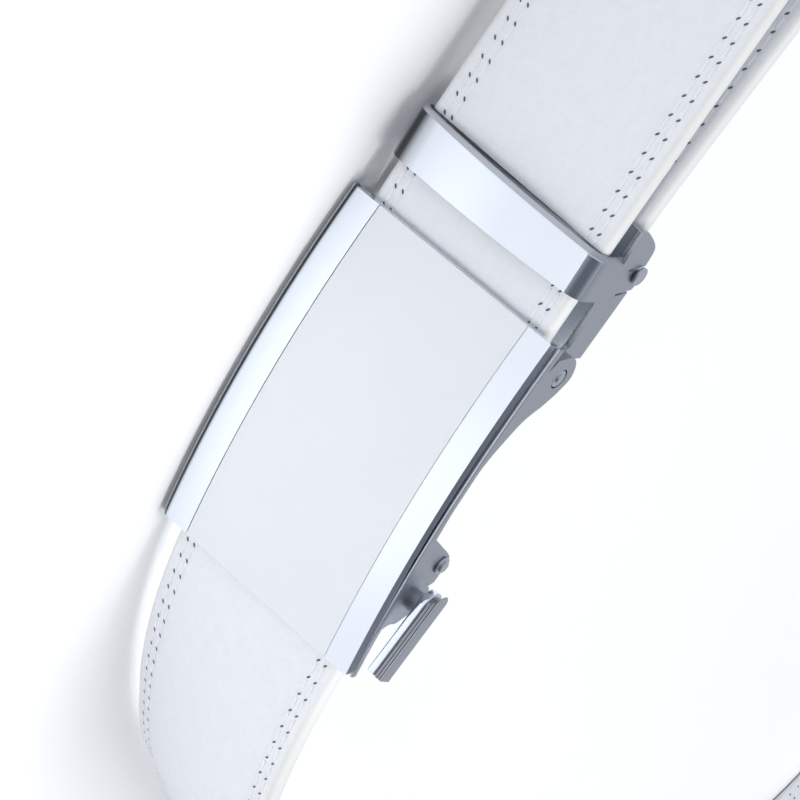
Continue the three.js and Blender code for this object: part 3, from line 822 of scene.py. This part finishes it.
class BELT_OT_frame(bpy.types.Operator):
    """Model the casting behind the plate with its side walls, ledges and lugs"""

    bl_idname = "belt.frame"
    bl_label = "Buckle Frame"

    def execute(self, context):
        bm = bmesh.new()
        wall, rail, lip = 1.8, 0.5, 0.1
        bores = [(HINGE.x, HINGE.y, 1.65), (PAWL_PIN.x, PAWL_PIN.y, 1.2)]
        for low, high in ((lip, wall), (HEIGHT - wall, HEIGHT - lip)):
            prism(bm, wall_points(), low, high, bores)
        soften(bm, 0.16, 2, 40)
        flat = bmesh.new()
        for low, high in ((0, rail), (HEIGHT - rail, HEIGHT)):
            slab(flat, 0.8, LEDGE_DEPTH, low, high, HALF_LENGTH)
        for low, high in ((rail, wall), (HEIGHT - wall, HEIGHT - rail)):
            slab(flat, 1.4, LEDGE_DEPTH, low, high, HALF_LENGTH - 0.4)
        slab(flat, 1.5, LEDGE_DEPTH, wall, HEIGHT - wall, HALF_LENGTH - 8)
        soften(flat, 0.12, 2, 60)
        slice_along(flat, SLICE_STEP, -HALF_LENGTH, HALF_LENGTH)
        bow(flat)
        join_into(bm, flat)
        for v in bm.verts:
            if v.co.z > HEIGHT - 2:
                v.co.z -= UPPER_WALL_DROP * ((v.co.x / HALF_LENGTH + 1) / 2) ** 2
        finish_piece(
            bm, "cast_frame", TO_BELT, ["casting"], "belt", ["buckle_frame"]
        )
        return {"FINISHED"}


def pin(name, spots, place, nodes):
    """Round pins with softened rims; spots are (x, y, low, high, radius)."""
    bm = bmesh.new()
    for x, y, low, high, radius in spots:
        disc(bm, x, y, low, high, radius)
    soften(bm, 0.22, 3, 60)
    finish_piece(bm, name, place, ["pin_steel"], "belt", nodes)


class BELT_OT_pins(bpy.types.Operator):
    """Model the hinge rivets, the pawl's pin and the clamp pin"""

    bl_idname = "belt.pins"
    bl_label = "Pins"

    def execute(self, context):
        top = HEIGHT
        x, y = HINGE.x, HINGE.y
        pin("hinge_rivet_top", [(x, y, 38.6, top - 0.1, 1.5), (x, y, 39, top + 0.15, 0.8)],
            TO_BELT, ["hinge_rivet_upper"])
        pin("hinge_rivet_base", [(x, y, 0.1, 3.0, 1.5)], TO_BELT, ["hinge_rivet_lower"])
        x, y = PAWL_PIN.x, PAWL_PIN.y
        pin("pawl_pin_rod", [(x, y, 0.1, top + 0.4, 1.0), (x, y, top - 0.45, top + 0.05, 1.5)],
            TO_BELT, ["pawl_pin"])
        back, deep = -0.697 * CLAMP_LENGTH, 8.15
        low, high = MIDDLE_Z - CLAMP_HALF, MIDDLE_Z + CLAMP_HALF
        pin(
            "clamp_pin_rod",
            [(back, deep, low - 0.5, high + 0.5, 0.95), (back, deep, low - 0.7, low - 0.1, 1.55),
             (back, deep, high + 0.1, high + 0.7, 1.55)],
            TO_CLAMP, ["clamp_pin"],
        )
        return {"FINISHED"}


CLAMP_OUTLINE = [
    (0.99, 0), (1, 0.15), (0.965, 0.47), (0.922, 0.77), (0.869, 0.96), (0.762, 1),
]
CLAMP_DEPTH = 7.4
CLAMP_RIM = 1.5
# along the clamp: the keeper's near rim, where its far rim's slope starts, and that rim
KEEPER_NEAR, KEEPER_FACE, KEEPER_FAR = 12.1, 20.15, 20.9
KEEPER_SLANT = 0.75  # how far its far rim is drawn back at the middle


def clamp_wall(bm, low, high):
    """One side wall with its two slots cut as notches in the outline."""
    rear = [(-x * CLAMP_LENGTH, CLAMP_RIM + y * CLAMP_DEPTH) for x, y in CLAMP_OUTLINE]
    far = smooth_outline(rear, 3)
    end = CLAMP_RIM + 1.09 * CLAMP_DEPTH
    slot = 0.4

    def notch(top, base, y_base):
        x_top, x_base = -top * CLAMP_LENGTH, -base * CLAMP_LENGTH
        y_top = y_base - 4.4
        return [(x_base, y_base), (x_top, y_top), (x_top + slot, y_top), (x_base + slot, y_base)]

    first = notch(0.732, 0.760, CLAMP_RIM + CLAMP_DEPTH)
    second = notch(0.557, 0.587, end)
    points = [
        *far, *first[:3], (first[3][0], end - 0.3), (first[3][0] + 0.4, end),
        (second[0][0] - 0.4, end), (second[0][0], end - 0.3), *second[1:3],
        (second[3][0], CLAMP_RIM + 0.96 * CLAMP_DEPTH),
        (-0.09 * CLAMP_LENGTH, CLAMP_RIM + 0.78 * CLAMP_DEPTH),
        (-0.08 * CLAMP_LENGTH, CLAMP_RIM + 0.12 * CLAMP_DEPTH),
        (0, 1.5), (0, -1.5), (-4, CLAMP_RIM),
    ]
    prism(bm, points, low, high)
    disc(bm, 0, 0, low, high, 2.9)


def arch_points(half, top, corner, root, crown, steps=18):
    """An arch from foot to foot, with round corners and a crowned bar, as (across, up)."""
    points = [(-half, -root)]
    for k in range(steps + 1):
        a = math.pi - k * math.pi / 2 / steps
        points.append((-half + corner + corner * math.cos(a), top - corner + corner * math.sin(a)))
    span = half - corner
    for k in range(1, 12):
        x = -span + 2 * span * k / 12
        points.append((x, top + crown * (1 - (x / span) ** 2)))
    mirrored = [(-x, y) for x, y in points[: steps + 2][::-1]]
    return points + mirrored


class BELT_OT_clamp(bpy.types.Operator):
    """Model the strap clamp with its floor, end bar and keeper loop"""

    bl_idname = "belt.clamp"
    bl_label = "Strap Clamp"

    def execute(self, context):
        crown = context.scene.belt_sizes.keeper_crown
        low, high = MIDDLE_Z - CLAMP_HALF, MIDDLE_Z + CLAMP_HALF
        bm = bmesh.new()
        clamp_wall(bm, low, low + 1)
        clamp_wall(bm, high - 1, high)
        soften(bm, 0.14, 2, 35)
        finish_piece(bm, "clamp_walls", TO_CLAMP, ["casting"], "belt", ["clamp_body"])

        # drawn with x across and y up, then turned so that x stands along Z and y looks out
        turn = Matrix(((0, 0, -1, 0), (0, -1, 0, CLAMP_RIM), (-1, 0, 0, MIDDLE_Z), (0, 0, 0, 1)))
        bm = bmesh.new()
        outer = arch_points(CLAMP_HALF + 0.03, 7.5, 3.0, 1.0, crown)
        inner = arch_points(CLAMP_HALF - 1, 6.25, 1.75, 1.0, crown)
        rim = arch_points(CLAMP_HALF - 0.72, 6.75, 2.25, 1.0, crown)
        prism(bm, [*outer, *inner[::-1]], KEEPER_NEAR, KEEPER_FACE)
        cap = [f for f in bm.faces if all(v.co.z > KEEPER_FACE - 0.1 for v in f.verts)]
        end = bmesh.ops.extrude_face_region(bm, geom=cap)["geom"]
        bmesh.ops.delete(bm, geom=cap, context="FACES_ONLY")
        for v in end:
            if isinstance(v, bmesh.types.BMVert):
                near = min(range(len(outer)), key=lambda k: (v.co.xy - Vector(outer[k])).length)
                if (v.co.xy - Vector(outer[near])).length < 0.01:
                    v.co.xy = rim[near]
                v.co.z = KEEPER_FAR
        soften(bm, 0.14, 2, 40, -0.9)
        for face in bm.faces:
            middle = face.calc_center_median()
            leg = abs(middle.x) > CLAMP_HALF - 1.2 and middle.y < 6.1
            face.material_index = 1 if leg or middle.z > KEEPER_FACE + 0.05 else 0
        for v in bm.verts:
            if v.co.z > (KEEPER_NEAR + KEEPER_FAR) / 2:
                v.co.z -= KEEPER_SLANT * (1 - v.co.x / CLAMP_HALF)
        # the keeper's chrome carries painted shade along its lower corner
        finish_piece(
            bm, "keeper_loop", TO_CLAMP @ turn, ["keeper_chrome", "casting"], "belt"
        )

        bm = bmesh.new()
        half, inside = CLAMP_HALF - 0.5, CLAMP_HALF - 1
        fillet = [(inside - 3 + 3 * math.cos(a), math.sin(a)) for a in
                  [-math.pi / 2 * k / 12 for k in range(13)]]
        section = [(-half, -1.8), (half, -1.8), (half, 0), *fillet,
                   *[(-x, y) for x, y in fillet[::-1]], (-half, 0)]
        prism(bm, section, 2.4, CLAMP_LENGTH - 0.5)
        bmesh.ops.recalc_face_normals(bm, faces=bm.faces)
        finish_piece(bm, "clamp_floor", TO_CLAMP @ turn, ["satin_chrome"], "belt")

        bm = bmesh.new()
        bar = bmesh.ops.create_cube(bm, size=1)["verts"]
        bmesh.ops.scale(bm, vec=(2, 0.9, 2 * half), verts=bar)
        bmesh.ops.translate(bm, vec=(-CLAMP_LENGTH + 2.9, 6.8 + 0.45, MIDDLE_Z), verts=bar)
        soften(bm, 0.2, 3, 60)
        finish_piece(bm, "clamp_end_bar", TO_CLAMP, ["casting"], "belt")
        return {"FINISHED"}


# the lever's layers: bottom, top, near end, front, back, bevel and finish; finish 2 is a darker copy of
# the casting, painted shade on the grip band and its ridges
LEVER_LAYERS = [
    (0.3, 1.75, -0.9, 2.55, 2.2, 0.3, 0), (1.7, 3.0, -1.5, 2.2, 0.6, 0.05, 2),
    (2.05, 2.25, -1.5, 2.34, 0.6, 0.05, 2), (2.55, 2.75, -1.5, 2.34, 0.6, 0.05, 2),
    (2.9, 3.1, -2.2, 2.45, 0.6, 0.06, 1),
]


class BELT_OT_lever(bpy.types.Operator):
    """Model the release lever with its polished front, grip lines and shaft"""

    bl_idname = "belt.lever"
    bl_label = "Release Lever"

    def execute(self, context):
        low, far = HEIGHT + 0.4, 12.0
        bm = bmesh.new()
        for bottom, top, near, front, back, bevel, finish in LEVER_LAYERS:
            radius, centre = (front + back) / 2, (back - front) / 2
            arc = [(near - radius * math.sin(a), centre + radius * math.cos(a))
                   for a in [math.pi * k / 20 for k in range(21)]]
            part = bmesh.new()
            prism(part, [(far, back), *arc, (far, -front)], low + bottom, low + top)
            soften(part, bevel, 4, 60)
            join_into(bm, part, finish)
        shaft = bmesh.new()
        disc(shaft, 0, 0, 38.9, low + 0.6, 1.75)
        soften(shaft, 0.1, 2, 60)
        join_into(bm, shaft, 1)
        finish_piece(
            bm, "release_lever_tab", TO_LEVER, ["chrome", "casting", "grip"], "lever",
            ["release_lever"],
        )
        return {"FINISHED"}


class BELT_OT_hidden(bpy.types.Operator):
    """Finish the track, the pawl and the clamp's flap"""

    bl_idname = "belt.hidden"
    bl_label = "Track, Pawl and Flap"

    def execute(self, context):
        for node, finish in (
            ("ratchet_track", "moulded_track"), ("pawl", "casting"), ("clamp_flap", "casting"),
        ):
            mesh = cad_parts[node].data
            mesh.materials.clear()
            mesh.materials.append(materials()[finish])
        return {"FINISHED"}


def soft_light(name, kind, spot, aim, power):
    """A lamp that lights the belt and floor and isn't mirrored in the metal."""
    data = bpy.data.lights.new(name, kind)
    data.energy = power
    light = bpy.data.objects.new(name, data)
    light.location = spot
    light.rotation_euler = (Vector(aim) - Vector(spot)).to_track_quat("-Z", "Y").to_euler()
    light.visible_glossy = light.visible_camera = False
    bpy.context.scene.collection.objects.link(light)
    return data


def studio_sky(tree):
    """An even pale sky with one dark flag high in front, which the polished corners mirror."""
    sky = tree.nodes["Background"]
    way = tree.nodes.new("ShaderNodeTexCoord").outputs["Generated"]
    near = tree.nodes.new("ShaderNodeVectorMath")
    near.operation = "DOT_PRODUCT"
    near.inputs[1].default_value = Vector((0.35, -0.65, 0.67)).normalized()
    tree.links.new(way, near.inputs[0])
    ramp = tree.nodes.new("ShaderNodeValToRGB")
    ramp.color_ramp.elements[0].position = 0.5
    ramp.color_ramp.elements[0].color = (0.9, 0.94, 1.0, 1)
    ramp.color_ramp.elements[1].position = 0.96
    ramp.color_ramp.elements[1].color = (0.2, 0.215, 0.26, 1)
    tree.links.new(near.outputs["Value"], ramp.inputs["Fac"])
    tree.links.new(ramp.outputs["Color"], sky.inputs["Color"])
    sky.inputs["Strength"].default_value = 0.64


CAMERA_LENS = 153.9
CAMERA_SPOT = Vector((-184.433, -422.471, 212.616))  # from the buckle's origin, in mm
CAMERA_AXES = (  # right, up, back
    Vector((-0.484798, 0.515906, 0.705980)),
    Vector((-0.799655, 0.066054, -0.597681)),
    Vector((-0.354582, -0.854306, 0.380163)),
)


class BELT_OT_stage(bpy.types.Operator):
    """Set up the pale floor, the soft lights and the camera"""

    bl_idname = "belt.stage"
    bl_label = "Stage"

    def execute(self, context):
        bm = bmesh.new()
        bmesh.ops.create_grid(bm, x_segments=1, y_segments=1, size=6)
        mesh = bpy.data.meshes.new("floor")
        bm.to_mesh(mesh)
        bm.free()
        floor = bpy.data.objects.new("floor", mesh)
        floor.location.z = CAD_BOX[0][2] - 0.0002
        mesh.materials.append(new_material("pale_floor", (0.97, 0.972, 0.978), 0.6)[0])
        context.scene.collection.objects.link(floor)

        world = bpy.data.worlds.new("studio")
        context.scene.world = world
        world.use_nodes = True
        studio_sky(world.node_tree)
        o = BUCKLE_ORIGIN
        soft_light("key", "AREA", o + Vector((0.2, -0.78, 0.34)), o, 2.2).size = 0.3
        soft_light("top", "AREA", o + Vector((0.1, 0.1, 1.0)), o, 7.0).size = 0.9
        for x, y, power in ((0.004, -0.012, 5.0), (0.036, -0.087, 3.2)):
            patch = o + Vector((x, y, 0))
            pool = soft_light("pool", "SPOT", patch + Vector((0, 0, 0.6)), patch, power)
            pool.spot_size, pool.spot_blend, pool.shadow_soft_size = 0.18, 1.0, 0.02

        data = bpy.data.cameras.new("camera")
        data.sensor_width = 36
        data.lens = CAMERA_LENS
        data.clip_start = 0.01
        camera = bpy.data.objects.new("camera", data)
        turn = Matrix(CAMERA_AXES).transposed().to_4x4()
        camera.matrix_world = Matrix.Translation(TO_BELT @ CAMERA_SPOT) @ turn
        context.scene.collection.objects.link(camera)
        context.scene.camera = camera
        context.scene.view_settings.view_transform = "Standard"
        return {"FINISHED"}


class BELT_PT_panel(bpy.types.Panel):
    """Lists the belt's pieces, sizes and colours"""

    bl_idname = "BELT_PT_panel"
    bl_label = "Ratchet Belt"
    bl_space_type = "VIEW_3D"
    bl_region_type = "UI"
    bl_category = "Belt"

    def draw(self, context):
        layout = self.layout
        for operator in OPERATORS:
            layout.operator(operator.bl_idname)
        for group in (context.scene.belt_sizes, context.scene.belt_colours):
            for name in group.__annotations__:
                layout.prop(group, name)


OPERATORS = (
    BELT_OT_strap, BELT_OT_stitches, BELT_OT_plate, BELT_OT_frame, BELT_OT_pins,
    BELT_OT_clamp, BELT_OT_lever, BELT_OT_hidden, BELT_OT_stage,
)
CLASSES = (BeltSizes, BeltColours, *OPERATORS, BELT_PT_panel)


def register():
    for cls in CLASSES:
        bpy.utils.register_class(cls)
    bpy.types.Scene.belt_sizes = bpy.props.PointerProperty(type=BeltSizes)
    bpy.types.Scene.belt_colours = bpy.props.PointerProperty(type=BeltColours)


def unregister():
    del bpy.types.Scene.belt_colours
    del bpy.types.Scene.belt_sizes
    for cls in reversed(CLASSES):
        bpy.utils.unregister_class(cls)


def main():
    register()
    bpy.ops.belt.strap()
    bpy.ops.belt.stitches()
    bpy.ops.belt.plate()
    bpy.ops.belt.frame()
    bpy.ops.belt.pins()
    bpy.ops.belt.clamp()
    bpy.ops.belt.lever()
    bpy.ops.belt.hidden()
    bpy.ops.belt.stage()


if __name__ == "__main__":
    main()
